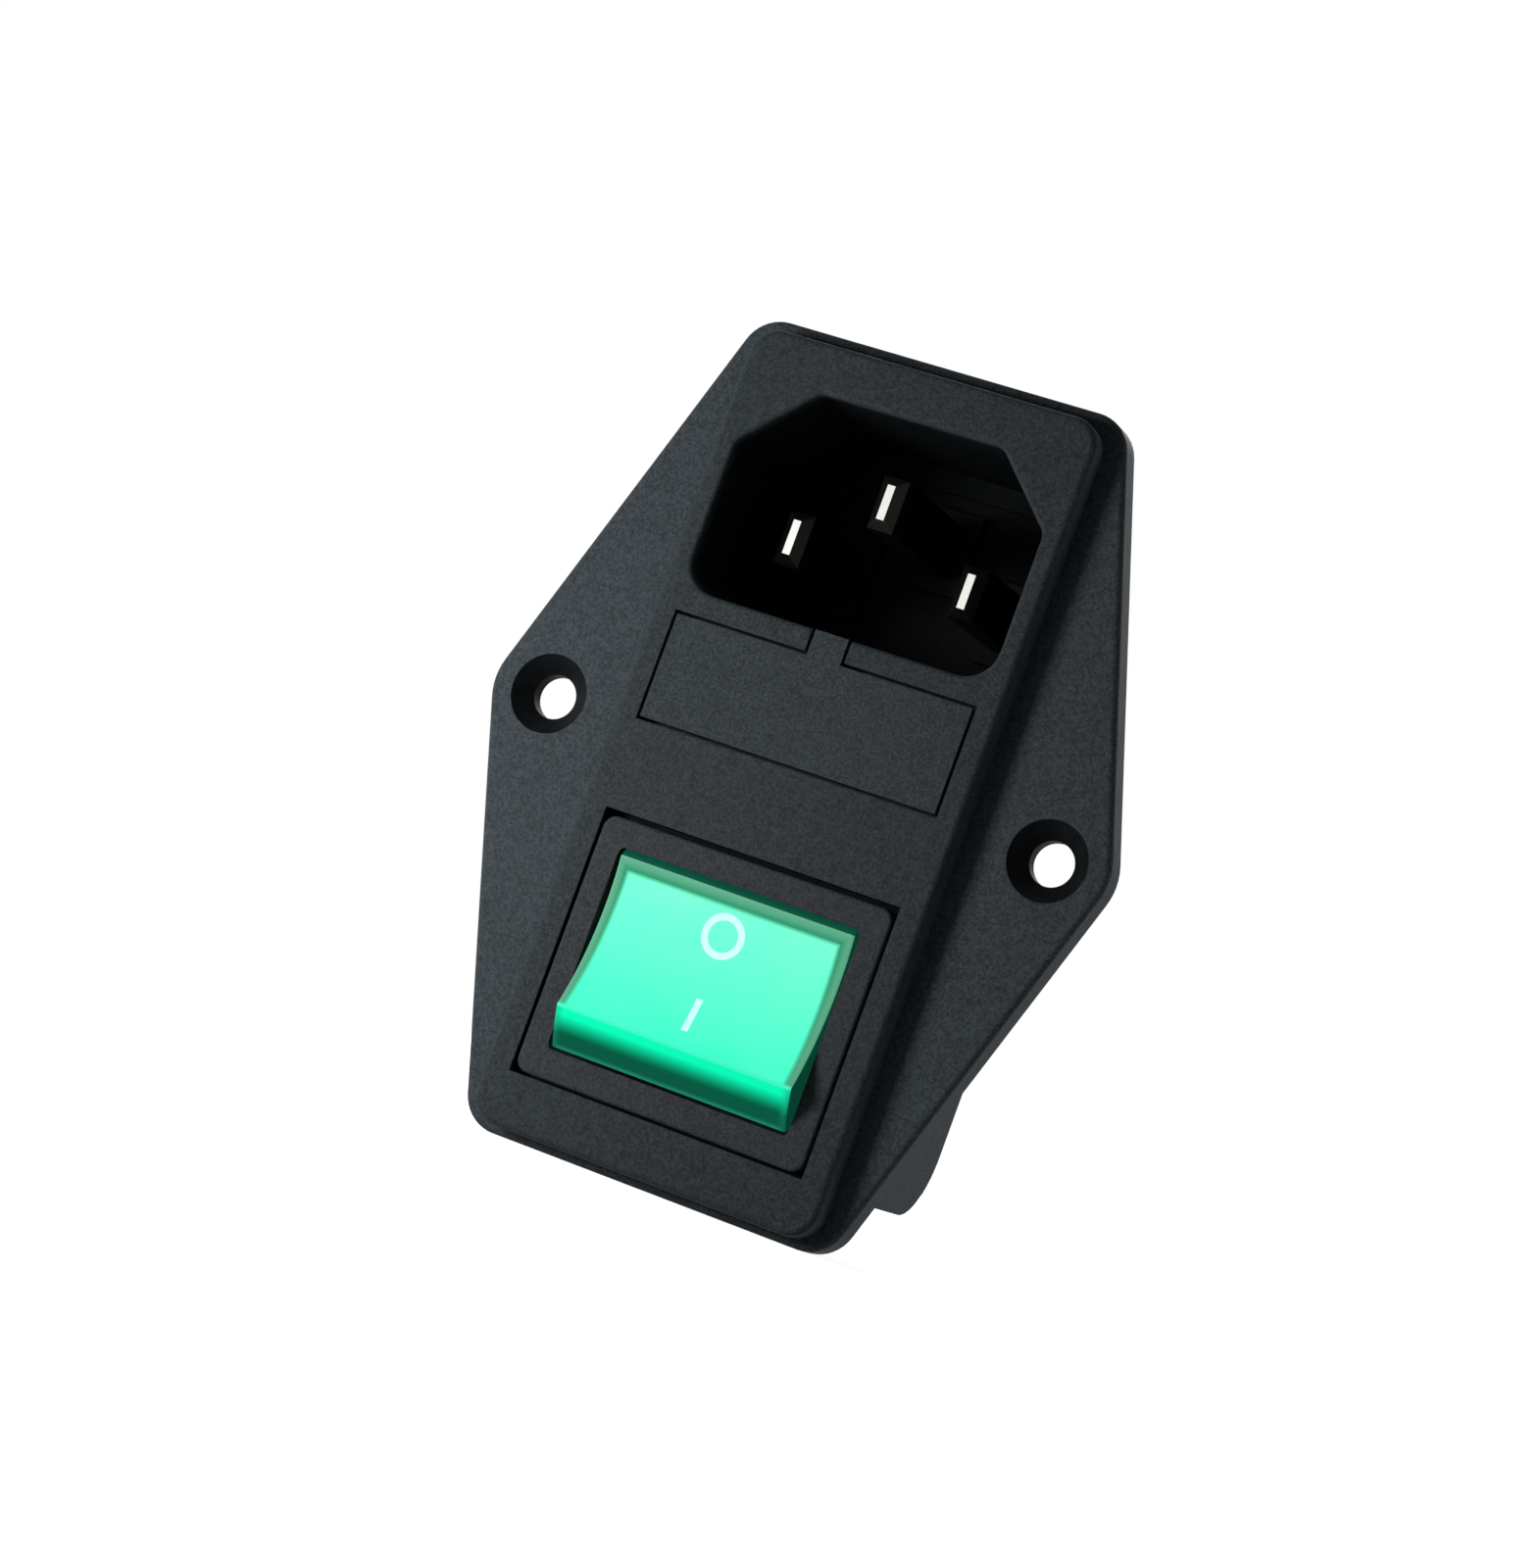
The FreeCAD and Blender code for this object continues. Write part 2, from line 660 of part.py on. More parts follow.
def plunger(side):
    """Round-ended pin that rides on the contact bridge, with a stud for its spring."""
    x = side * pole_spread / 2
    radius = plunger_dia / 2
    shoulder = pivot_y + plunger_shoulder
    tip = pivot_y + plunger_reach - radius
    body = rod(radius, V(x, shoulder, switch_centre), V(0, 1, 0), tip - shoulder)
    ball = Part.makeSphere(radius, V(x, tip, switch_centre))
    stud = rod(stud_dia / 2, V(x, pivot_y - stud_reach, switch_centre), V(0, 1, 0),
               stud_reach + plunger_shoulder + weld)
    return turned(body.fuse([ball, stud]).removeSplitter(), -rocker_tilt, pivot_y, switch_centre)


def plunger_spring(side):
    """Compression spring between the socket's end and the plunger's shoulder."""
    x = side * pole_spread / 2
    radius = plunger_dia / 2 - spring_wire / 2 - running
    start = pivot_y - socket_floor + spring_wire / 2 + seat
    length = pivot_y + plunger_shoulder - spring_wire / 2 - seat - start
    steps = spring_turns * spring_points
    turns = [2 * math.pi * step / spring_points for step in range(steps + 1)]
    coil = Part.BSplineCurve()
    coil.interpolate([V(radius * math.cos(turn), radius * math.sin(turn), length * turn / turns[-1])
                      for turn in turns])
    section = Part.Wire(Part.makeCircle(spring_wire / 2, V(radius, 0, 0), V(0, 1, 0)))
    wire = Part.Wire(coil.toShape()).makePipeShell([section], True, True)
    wire.rotate(V(0, 0, 0), V(1, 0, 0), -90)
    wire.translate(V(x, start, switch_centre))
    return turned(wire, -rocker_tilt, pivot_y, switch_centre)


def contact_bridge(side):
    """Rocking strip that closes one pole."""
    strip = centred(bridge_wide, bridge_under - bridge_thick, bridge_under,
                    switch_centre - bridge_half, switch_centre + bridge_half, side * pole_spread / 2)
    return turned(strip, bridge_tilt, fulcrum_y, switch_centre)


def moving_contact(side):
    """Contact button under the bridge's end."""
    base = V(side * pole_spread / 2, bridge_under, switch_centre + contact_arm)
    button = rod(contact_dia / 2, base, V(0, 1, 0), contact_thick)
    return turned(button, bridge_tilt, fulcrum_y, switch_centre)


def contact_meeting():
    """Depth that the moving button's middle reaches when the switch is on."""
    drop = contact_arm * math.sin(math.radians(bridge_tilt))
    under = contact_thick - tab_thick / 2 - running
    return fulcrum_y + drop + under * math.cos(math.radians(bridge_tilt))


def fixed_contact(side):
    """Domed contact button on the load terminal."""
    x = side * pole_spread / 2
    top = contact_meeting() + contact_gap
    base = V(x, top, switch_centre + contact_arm)
    button = rod(contact_dia / 2, base, V(0, 1, 0), contact_thick)
    return button.makeFillet(contact_thick / 2, edges_at_depth(button, top))


def feed_terminal(side):
    """Middle terminal: the bridge rocks on its rounded top edge."""
    x = side * pole_spread / 2
    post = centred(tab_wide, fulcrum_y, case_back, switch_centre - tab_thick / 2,
                   switch_centre + tab_thick / 2, x)
    crest = rod(tab_thick / 2, V(x - tab_wide / 2, fulcrum_y, switch_centre), V(1, 0, 0), tab_wide)
    rear = quick_tab(case_back, "x")
    rear.translate(V(x, 0, switch_centre))
    return post.fuse([crest, rear]).removeSplitter()


def load_terminal(side):
    """End terminal, folded over under its contact button."""
    x = side * pole_spread / 2
    z = switch_centre + load_arm
    foot_front = contact_meeting() + contact_gap + contact_thick
    foot = centred(tab_wide, foot_front, foot_front + tab_thick,
                   switch_centre + contact_arm - contact_dia / 2, z + tab_thick / 2, x)
    post = centred(tab_wide, foot_front, case_back, z - tab_thick / 2, z + tab_thick / 2, x)
    rear = quick_tab(case_back, "x")
    rear.translate(V(x, 0, z))
    return foot.fuse([post, rear]).removeSplitter()


def lamp_bulb():
    """Glass lamp that stands in its seat on the case's floor."""
    base = case_inside - lamp_seat_height - seat
    radius = lamp_dia / 2
    crown = V(0, base - lamp_length + radius, switch_centre)
    tube = rod(radius, crown, V(0, 1, 0), lamp_length - radius)
    return tube.fuse(Part.makeSphere(radius, crown)).removeSplitter()


def resistor_place():
    """X of the resistor, its depth on the case's floor and the height at which it starts."""
    start = switch_centre + lamp_dia / 2 + socket_wall + seat
    return lead_half, case_inside - resistor_dia / 2 - seat, start


def lamp_resistor():
    x, y, z = resistor_place()
    radius = resistor_dia / 2
    body = rod(radius, V(x, y, z), V(0, 0, 1), resistor_length)
    return body.makeFillet(radius / 3, [e for e in body.Edges if len(e.Vertexes) == 1])


def wire_run(points):
    """Round wire through a row of points."""
    radius = lead_dia / 2
    pieces = []
    for start, end in zip(points, points[1:]):
        pieces.append(rod(radius, start, end - start, (end - start).Length))
    joints = [Part.makeSphere(radius, point) for point in points[1:-1]]
    if not joints:
        return pieces[0]
    return pieces[0].fuse(pieces[1:] + joints).removeSplitter()


def lamp_leads():
    """Leads from the lamp's foot to one load terminal, and through the resistor to the other."""
    foot = case_inside - lamp_seat_height
    floor = case_inside - lead_dia / 2 - seat
    edge = pole_spread / 2 - tab_wide / 2 - seat
    load_z = switch_centre + load_arm
    x, y, z = resistor_place()
    after = z + resistor_length + seat
    direct = [V(-lead_half, foot, switch_centre), V(-lead_half, floor, switch_centre),
              V(-lead_half, floor, load_z), V(-edge, floor, load_z)]
    to_resistor = [V(x, foot, switch_centre), V(x, y, switch_centre), V(x, y, z - seat)]
    from_resistor = [V(x, y, after), V(x, y, load_z), V(edge, y, load_z)]
    return wire_run(direct), wire_run(to_resistor), wire_run(from_resistor)


def all_nodes():
    nodes = {"housing": housing(), "inlet_insert": inlet_insert()}
    set_backs = {"line_pin": pin_set_back, "neutral_pin": pin_set_back, "earth_pin": earth_set_back}
    for name, (x, z) in pin_places().items():
        nodes[name] = pin(x, z, set_backs[name], "stub" if name == "line_pin" else "tab")
    nodes["fuse_link"] = fuse_link()
    nodes["fuse_clip_line"] = fuse_clip(line_side, "link")
    nodes["fuse_clip_load"] = fuse_clip(-line_side, "tab")
    nodes["fuse_drawer"] = fuse_drawer()
    for name, y in (("fuse", fuse_y), ("spare_fuse", spare_y)):
        tube, left, right, wire = fuse_parts(y)
        nodes[name + "_glass"] = tube
        nodes[name + "_cap_left"] = left
        nodes[name + "_cap_right"] = right
        nodes[name + "_wire"] = wire
    nodes["switch_case"] = switch_case()
    nodes["rocker_lens"] = rocker_lens()
    nodes["rocker_body"] = rocker_body()
    for side, hand in ((-1, "left"), (1, "right")):
        nodes["plunger_" + hand] = plunger(side)
        nodes["plunger_spring_" + hand] = plunger_spring(side)
        nodes["contact_bridge_" + hand] = contact_bridge(side)
        nodes["moving_contact_" + hand] = moving_contact(side)
        nodes["fixed_contact_" + hand] = fixed_contact(side)
        nodes["feed_terminal_" + hand] = feed_terminal(side)
        nodes["load_terminal_" + hand] = load_terminal(side)
    nodes["lamp_bulb"] = lamp_bulb()
    nodes["lamp_resistor"] = lamp_resistor()
    nodes["lamp_lead_left"], nodes["lamp_lead_right"], nodes["resistor_lead"] = lamp_leads()
    return nodes


def main():
    os.makedirs("parts", exist_ok=True)
    for name, shape in all_nodes().items():
        solids = shape.Solids
        if len(solids) != 1 or not shape.isValid():
            print("check", name, len(solids), shape.isValid())
        solids[0].exportStep("parts/" + name + ".step")
        box = shape.BoundBox
        print(f"{name:22s} vol {shape.Volume:9.2f}  X {box.XMin:7.2f} {box.XMax:7.2f}"
              f"  Y {box.YMin:7.2f} {box.YMax:7.2f}  Z {box.ZMin:7.2f} {box.ZMax:7.2f}")


main()
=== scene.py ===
"""Looks of the panel power entry module: finishes, printed switch marks, studio and camera.

Metres, in the model's own frame: X across the panel, Y into it, Z up it.
"""
import math

import bmesh
import bpy
from mathutils import Matrix, Vector


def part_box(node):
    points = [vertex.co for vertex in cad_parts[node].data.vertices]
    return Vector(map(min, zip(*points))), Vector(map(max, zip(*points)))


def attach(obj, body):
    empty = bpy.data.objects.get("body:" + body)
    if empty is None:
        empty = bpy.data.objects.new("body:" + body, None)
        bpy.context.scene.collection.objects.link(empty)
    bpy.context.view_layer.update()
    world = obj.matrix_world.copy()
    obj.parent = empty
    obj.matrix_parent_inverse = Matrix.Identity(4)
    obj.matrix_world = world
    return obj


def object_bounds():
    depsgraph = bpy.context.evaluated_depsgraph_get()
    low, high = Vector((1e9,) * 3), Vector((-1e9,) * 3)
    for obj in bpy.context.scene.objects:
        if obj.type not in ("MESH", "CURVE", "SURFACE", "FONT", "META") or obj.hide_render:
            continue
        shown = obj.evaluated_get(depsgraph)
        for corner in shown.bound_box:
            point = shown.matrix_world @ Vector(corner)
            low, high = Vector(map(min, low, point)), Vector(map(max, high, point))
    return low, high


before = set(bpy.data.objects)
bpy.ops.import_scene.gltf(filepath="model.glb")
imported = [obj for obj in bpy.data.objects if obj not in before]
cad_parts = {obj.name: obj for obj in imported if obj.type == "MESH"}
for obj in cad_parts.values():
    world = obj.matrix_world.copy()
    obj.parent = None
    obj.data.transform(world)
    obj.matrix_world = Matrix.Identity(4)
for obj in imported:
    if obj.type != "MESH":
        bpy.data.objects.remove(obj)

cad_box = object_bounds()
mm = 0.001

# Rocker, as in the model: section about its pivot, and the angle it rests at
pivot = Vector((0, 4.05 * mm, -16.5 * mm))
rocker_radius = 11.25 * mm
rocker_width = 18.7 * mm
rocker_edge_angle = math.radians(31)
rocker_dish = 1.1 * mm
rocker_tilt = math.radians(8)
rocker_edge_u = rocker_radius * math.sin(rocker_edge_angle)
rocker_edge_v = rocker_radius * math.cos(rocker_edge_angle)

# Places on the housing that painted shade darkens: the inlet's well, the switch recess's walls and the two
# countersinks
well_front = -4.5 * mm
well_floor = 12.0 * mm
well_half_width = 12.3 * mm
well_low = 10.1 * mm
well_high = 26.7 * mm
well_chamfer = 4.6 * mm
well_mouth = (0.3 * mm, 1.1 * mm)
well_margin = 0.3 * mm
recess_half_width = 11.75 * mm
recess_half_height = 10.025 * mm
recess_floor = -2.9 * mm
recess_mouth = 0.08 * mm
recess_side_margin = 0.03 * mm
recess_floor_margin = 0.05 * mm
hole_place = 20 * mm
sink_radius = 2.97 * mm

# Marks printed on the rocker, placed along its face from its middle
ring_place = 2.8 * mm
ring_outer = 1.64 * mm
ring_inner = 1.14 * mm
bar_place = -3.2 * mm
bar_length = 2.55 * mm
bar_width = 0.5 * mm
bar_shift = 0.2 * mm
ink_thick = 0.02 * mm
ring_steps = 96
bar_steps = 10

# Camera, from the vanishing lines of the photographed edges: its lens and sensor are in millimetres
camera_place = Vector((105.176, -276.855, -20.281)) * mm
camera_aim = Vector((-2.372, 0, -0.937)) * mm
camera_roll = math.radians(20.113)
camera_lens = 95.137
camera_sensor = 36
camera_near = 10 * mm

# Studio: the world's strength as seen and on the object, and the floor's glow at both ends of its reach
sky_white = (1.0, 1.0, 1.0)
background_white = 1.0
ambient = 0.045
floor_grey = (0.8, 0.8, 0.8)
floor_half = 3.0
floor_glow = (0.84, 0.99)
floor_reach = (0.05, 0.45)

# Square lamps that face the origin: name, place, side and power in watts
lamps = [
    ("key", (-0.078, -0.090, -0.009), 0.04, 0.165),
    ("top", (-0.10, -0.06, 0.30), 0.20, 0.07),
    ("side", (0.28, 0.12, -0.02), 0.25, 0.57),
    ("back", (-0.10, 0.36, 0.14), 0.30, 0.93),
]

# Parts of a noise's range that are stretched over a finish's two ends, and the samples for softened edges
noise_wide = (0.3, 0.7)
noise_narrow = (0.35, 0.65)
edge_samples = 4

# Moulded plastic: each shade multiplies its colour, and coarse_size multiplies its grain
black = (0.0335, 0.0400, 0.0445)
bezel_black = (0.0295, 0.0325, 0.0355)
fine_share = 0.88
fine_detail = 3.0
fine_rough = 0.62
coarse_size = 4.5
speckle_range = (0.36, 0.66)
speckle_shades = (0.58, 1.45)
# Painted shade in the well, the switch recess and the countersinks, as shares of the colour
hollow_shade_shares = (0.10, 0.17)
drawer_shade = 0.86
cloud_size = 9 * mm
cloud_share = 0.08
cloud_shade = 1.4
moulded_gloss = 0.02
moulded_edge = 0.08 * mm
roughness_spread = 0.07

# How much darker the plinth's finer pitted face is than the flange, and the depths behind it where that ends
plinth_tone = 0.24
plinth_fade = (0.2 * mm, 0.7 * mm)

# Metals: their grain is drawn out one way, and each shade multiplies their colour
nickel = (0.86, 0.84, 0.80)
brass = (0.80, 0.62, 0.32)
silver = (0.88, 0.87, 0.84)
steel = (0.55, 0.56, 0.58)
drawn_size = 0.09 * mm
drawn_detail = 3.0
drawn_rough = 0.6
drawn_squeeze = 0.06
drawn_depth = 0.004 * mm
plate_cloud_size = 1.6 * mm
plate_cloud_detail = 3.0
plate_cloud_range = (0.35, 0.7)
plate_cloud_shade = 0.8
plate_roughness = (0.75, 1.3)
plate_edge = 0.06 * mm
pin_edge = 0.05 * mm
pin_tip_range = (0.85, 0.97)
pin_tip_shade = 0.85
# Painted shade: the pins' bevels and flanks inside the well, nearly black
pin_flank_shades = (0.010, 0.022)
pin_roughness = (0.2, 0.45)

# Glass and nylon
glass_colours = ((0.95, 0.98, 0.97), (0.9, 0.95, 0.94))
glass_roughness = (0.01, 0.05)
glass_index = 1.5
glass_wave_size = 1.5 * mm
glass_wave_stretch = (0.3, 1.0, 1.0)
nylon_colours = ((0.74, 0.73, 0.66), (0.66, 0.64, 0.56))
nylon_cloud_size = 0.8 * mm

# The lamp's resistor: its rings' places and half width are shares of its length
lacquer_colours = ((0.60, 0.46, 0.28), (0.52, 0.39, 0.23))
lacquer_size = 0.6 * mm
lacquer_depth = 0.02 * mm
ring_half_share = 0.045
resistor_rings = [
    (0.2, (0.17, 0.05, 0.02)),
    (0.36, (0.75, 0.32, 0.02)),
    (0.52, (0.65, 0.6, 0.03)),
    (0.8, (0.5, 0.38, 0.1)),
]

# Lit pieces: how far their colour is taken down under the studio's light, and the strength of their own
lit_share = 0.7
lit_glow = 0.85
diffuser_colours = ((0.30, 0.80, 0.62), (0.36, 0.90, 0.70))
diffuser_mottle_size = 2.2 * mm
ink_colours = ((0.56, 0.99, 0.89), (0.47, 0.94, 0.80))
ink_patch_size = 0.12 * mm
unlit = (0.0, 0.0, 0.0)

# The cap's surface
cap_gloss = 0.03
cap_roughness = (0.22, 0.3)
cap_roughness_size = 0.4 * mm
cap_wave_size = 2.5 * mm
cap_wave_depth = 0.01 * mm

# The cap's face, from the I end to the O end, and the strips of painted shade along its rim, where no lit
# diffuser lies under the clear cap
face_low = (0.042, 0.90, 0.525)
face_high = (0.19, 0.95, 0.61)
face_cloud = (0.095, 0.93, 0.565)
face_cloud_share = 0.35
face_cloud_size = 4 * mm
strip_outer = (0.11, 0.37, 0.23)
strip_middle = (0.085, 0.34, 0.20)
strip_inner = (0.025, 0.26, 0.135)
strip_outer_fade = (0.1 * mm, 0.28 * mm)
strip_inner_fade = (0.35 * mm, 0.75 * mm)
strip_widths = (0.55 * mm, 0.95 * mm)
strip_edge = (-0.15 * mm, 0.2 * mm)

# The cap's end wall under I, from its arris down to its foot, with its two upright corners: painted light and
# shade from the lit diffuser, and a painted highlight along the arris
end_bright = (0.002, 0.84, 0.415)
end_dark = (0.0, 0.087, 0.043)
end_foot = (0.012, 0.2, 0.125)
end_fade = (0.38 * mm, 1.35 * mm)
end_fade_power = 1.7
end_foot_fade = (1.95 * mm, 2.2 * mm)
corner_bright = (0.004, 0.56, 0.30)
corner_dark = (0.002, 0.14, 0.075)
corner_fade = (0.3 * mm, 1.4 * mm)
corner_width = (0.15 * mm, 0.65 * mm)
# Painted highlight along the arris under I
arris_highlight = (0.05, 0.80, 0.51)
arris_fade = (0.06 * mm, 0.2 * mm)
arris_turn = (-0.02 * mm, 0.06 * mm)

# The cap's end wall over O, with painted light and shade from the lit diffuser, and the painted shade on its
# flanks
far_top = (0.002, 0.07, 0.04)
far_middle = (0.004, 0.60, 0.33)
far_foot = (0.012, 0.17, 0.105)
far_top_fade = (0.45 * mm, 1.0 * mm)
far_foot_fade = (1.5 * mm, 2.3 * mm)
far_start = 0.03 * mm
flank_dark = (0.002, 0.055, 0.03)
flank_fade = (0.004 * mm, 0.02 * mm)


# Node helpers

class Nodes:
    """Short calls that add nodes to one tree."""

    def __init__(self, tree):
        self.tree = tree

    def feed(self, socket, value):
        """Links an output to a socket, or sets the socket to a number, vector or colour."""
        if isinstance(value, bpy.types.NodeSocket):
            self.tree.links.new(value, socket)
        elif socket.type == "RGBA":
            socket.default_value = (*value, 1.0)
        else:
            socket.default_value = value

    def node(self, kind, inputs=(), **settings):
        made = self.tree.nodes.new(kind)
        for name, value in settings.items():
            setattr(made, name, value)
        for name, value in dict(inputs).items():
            self.feed(made.inputs[name], value)
        return made

    def maths(self, operation, a, b=0.0):
        return self.node("ShaderNodeMath", {0: a, 1: b}, operation=operation).outputs[0]

    def below(self, value, limit):
        """1 where the value is under the limit, 0 elsewhere."""
        return self.maths("LESS_THAN", value, limit)

    def off(self, value, middle):
        """How far the value is from the middle, either way."""
        return self.maths("ABSOLUTE", self.maths("SUBTRACT", value, middle))

    def product(self, *factors):
        total = factors[0]
        for factor in factors[1:]:
            total = self.maths("MULTIPLY", total, factor)
        return total

    def length(self, vector):
        return self.node("ShaderNodeVectorMath", {0: vector}, operation="LENGTH").outputs["Value"]

    def coordinates(self, vector):
        split = self.node("ShaderNodeSeparateXYZ", {"Vector": vector})
        return [split.outputs[axis] for axis in "XYZ"]

    def ramp(self, value, low, high, start=0.0, end=1.0):
        """Maps low to high onto start to end, clamped."""
        return self.node("ShaderNodeMapRange", {"Value": value, "From Min": low, "From Max": high,
                                                "To Min": start, "To Max": end}).outputs[0]

    def blend(self, factor, a, b):
        """Colour a where the factor is 0, colour b where it is 1."""
        made = self.node("ShaderNodeMix", {0: factor}, data_type="RGBA")
        for socket, value in zip((s for s in made.inputs if s.type == "RGBA"), (a, b)):
            self.feed(socket, value)
        return next(s for s in made.outputs if s.type == "RGBA")


class Finish(Nodes):
    """A material with one Principled shader."""

    def __init__(self, name, **sockets):
        self.material = bpy.data.materials.new(name)
        self.material.use_nodes = True
        super().__init__(self.material.node_tree)
        self.tree.nodes.clear()
        self.shader = self.node("ShaderNodeBsdfPrincipled")
        self.node("ShaderNodeOutputMaterial", {"Surface": self.shader.outputs[0]})
        self.texture = self.node("ShaderNodeTexCoord")
        self.place = self.texture.outputs["Object"]
        for socket, value in sockets.items():
            self.set(socket.replace("_", " "), value)

    def set(self, socket, value):
        self.feed(self.shader.inputs[socket], value)

    def noise(self, size, detail=2.0, rough=0.5, stretch=None):
        vector = self.place
        if stretch:
            vector = self.node("ShaderNodeMapping", {"Vector": vector, "Scale": stretch}).outputs[0]
        return self.node("ShaderNodeTexNoise", {"Vector": vector, "Scale": 1 / size, "Detail": detail,
                                                "Roughness": rough}).outputs[0]

    def drawn(self, grain_axis):
        """Fine noise drawn out along one axis."""
        stretch = tuple(drawn_squeeze if axis == grain_axis else 1.0 for axis in range(3))
        return self.noise(drawn_size, drawn_detail, drawn_rough, stretch)

    def bump(self, height, distance, edge=None):
        """Sets the normal from a height of 0 to 1 over a distance, with its edges softened by a radius."""
        inputs = {"Height": height, "Distance": distance}
        if edge:
            inputs["Normal"] = self.node("ShaderNodeBevel", {"Radius": edge}, samples=edge_samples).outputs[0]
        self.set("Normal", self.node("ShaderNodeBump", inputs).outputs[0])

    def lit(self, colour):
        """Shows a colour mostly by its own light, the rest by the studio's."""
        self.set("Base Color", self.blend(lit_share, colour, unlit))
        self.set("Emission Color", colour)
        self.set("Emission Strength", lit_glow)


def scaled(colour, factor):
    return tuple(channel * factor for channel in colour)


def shades(colour, factors):
    return [scaled(colour, factor) for factor in factors]


# Finishes

def painted_hollow_shade(finish, across, depth, height):
    """Where painted shade goes: 1 inside the inlet's well, on the switch recess's walls and in the two
    countersinks, 0 elsewhere.
    """
    outward = finish.maths("ABSOLUTE", across)
    well_corner = well_half_width + well_high - well_chamfer
    in_well = finish.product(
        finish.below(outward, well_half_width),
        finish.below(finish.off(height, (well_low + well_high) / 2), (well_high - well_low) / 2),
        finish.below(finish.maths("ADD", outward, height), well_corner),
        finish.below(depth, well_floor + well_margin),
        finish.ramp(depth, *(well_front + fade for fade in well_mouth)))
    in_recess = finish.product(
        finish.below(outward, recess_half_width + recess_side_margin),
        finish.below(finish.off(height, pivot.z), recess_half_height + recess_side_margin),
        finish.below(depth, recess_floor + recess_floor_margin),
        finish.maths("GREATER_THAN", depth, well_front + recess_mouth))
    from_hole = finish.maths("SUBTRACT", outward, hole_place)
    off_hole = finish.node("ShaderNodeCombineXYZ", {"X": from_hole, "Y": height}).outputs[0]
    in_sink = finish.below(finish.length(off_hole), sink_radius)
    return finish.maths("MAXIMUM", finish.maths("MAXIMUM", in_well, in_recess), in_sink)


def moulded_black(name, colour, grain, depth, roughness, shade_hollows=False):
    """Black moulding from a spark-eroded tool: fine pits, faint mottling and softened edges; where asked,
    also a darker plinth face and painted shade in the well, the switch recess and the countersinks.
    """
    finish = Finish(name, Specular_IOR_Level=moulded_gloss)
    fine = finish.noise(grain, fine_detail, fine_rough)
    coarse = finish.noise(grain * coarse_size)
    cloud = finish.noise(cloud_size)
    shade = finish.maths("ADD", finish.maths("MULTIPLY", fine, fine_share),
                         finish.maths("MULTIPLY", coarse, 1 - fine_share))
    speckle = finish.blend(finish.ramp(shade, *speckle_range), *shades(colour, speckle_shades))
    clouding = finish.ramp(cloud, *noise_narrow, 0.0, cloud_share)
    mottled = finish.blend(clouding, speckle, scaled(colour, cloud_shade))
    if shade_hollows:
        across, inward, height = finish.coordinates(finish.place)
        plinth = finish.ramp(inward, *(well_front + fade for fade in plinth_fade), plinth_tone, 0.0)
        mottled = finish.blend(plinth, mottled, unlit)
        # Painted shade: the well, the switch recess's walls and the countersinks are made near black
        dark = finish.blend(finish.ramp(coarse, *noise_wide), *shades(colour, hollow_shade_shares))
        mottled = finish.blend(painted_hollow_shade(finish, across, inward, height), mottled, dark)
    finish.set("Base Color", mottled)
    finish.set("Roughness", finish.ramp(shade, *noise_wide, roughness - roughness_spread,
                                        roughness + roughness_spread))
    finish.bump(shade, depth, edge=moulded_edge)
    return finish.material


def plated(name, colour, roughness, grain_axis):
    """Bare or plated metal: drawn grain one way, faint clouding."""
    finish = Finish(name, Metallic=1.0)
    drawn = finish.drawn(grain_axis)
    cloud = finish.ramp(finish.noise(plate_cloud_size, plate_cloud_detail), *plate_cloud_range)
    finish.set("Base Color", finish.blend(cloud, colour, scaled(colour, plate_cloud_shade)))
    finish.set("Roughness", finish.ramp(drawn, *noise_wide, *(roughness * part for part in plate_roughness)))
    finish.bump(drawn, drawn_depth, edge=plate_edge)
    return finish.material


def contact_pin(name, colour):
    """Plated pin: its flat tip is polished by use; its bevels and flanks inside the well are rougher and
    painted nearly black as shade.
    """
    finish = Finish(name, Metallic=1.0)
    facing = finish.coordinates(finish.texture.outputs["Normal"])[1]
    depth = finish.coordinates(finish.place)[1]
    # Painted shade on the bevels and flanks inside the well
    flank = finish.ramp(finish.maths("ABSOLUTE", facing), *pin_tip_range, 1.0, 0.0)
    shaded_flank_mask = finish.product(flank, finish.below(depth, well_floor))
    drawn = finish.drawn(1)
    grain = finish.ramp(drawn, *noise_wide)
    bright = finish.blend(grain, colour, scaled(colour, pin_tip_shade))
    painted_flank_colour = finish.blend(grain, *shades(colour, pin_flank_shades))
    finish.set("Base Color", finish.blend(shaded_flank_mask, bright, painted_flank_colour))
    finish.set("Roughness", finish.ramp(shaded_flank_mask, 0.0, 1.0, *pin_roughness))
    finish.bump(drawn, drawn_depth, edge=pin_edge)
    return finish.material


def clear_glass(name):
    finish = Finish(name, Transmission_Weight=1.0, IOR=glass_index)
    waves = finish.noise(glass_wave_size, detail=1.0, stretch=glass_wave_stretch)
    finish.set("Base Color", finish.blend(finish.ramp(waves, *noise_wide), *glass_colours))
    finish.set("Roughness", finish.ramp(waves, *noise_wide, *glass_roughness))
    return finish.material


def rocker_places(finish):
    """Distance in from the nearer side, place along the face and height over the pivot."""
    level = finish.node("ShaderNodeVectorRotate", {"Vector": finish.place, "Center": tuple(pivot),
                                                   "Axis": (1, 0, 0), "Angle": rocker_tilt})
    across, depth, up = finish.coordinates(level.outputs[0])
    side = finish.maths("SUBTRACT", rocker_width / 2, finish.maths("ABSOLUTE", across))
    along = finish.maths("SUBTRACT", up, pivot.z)
    height = finish.maths("SUBTRACT", pivot.y, depth)
    return side, along, height


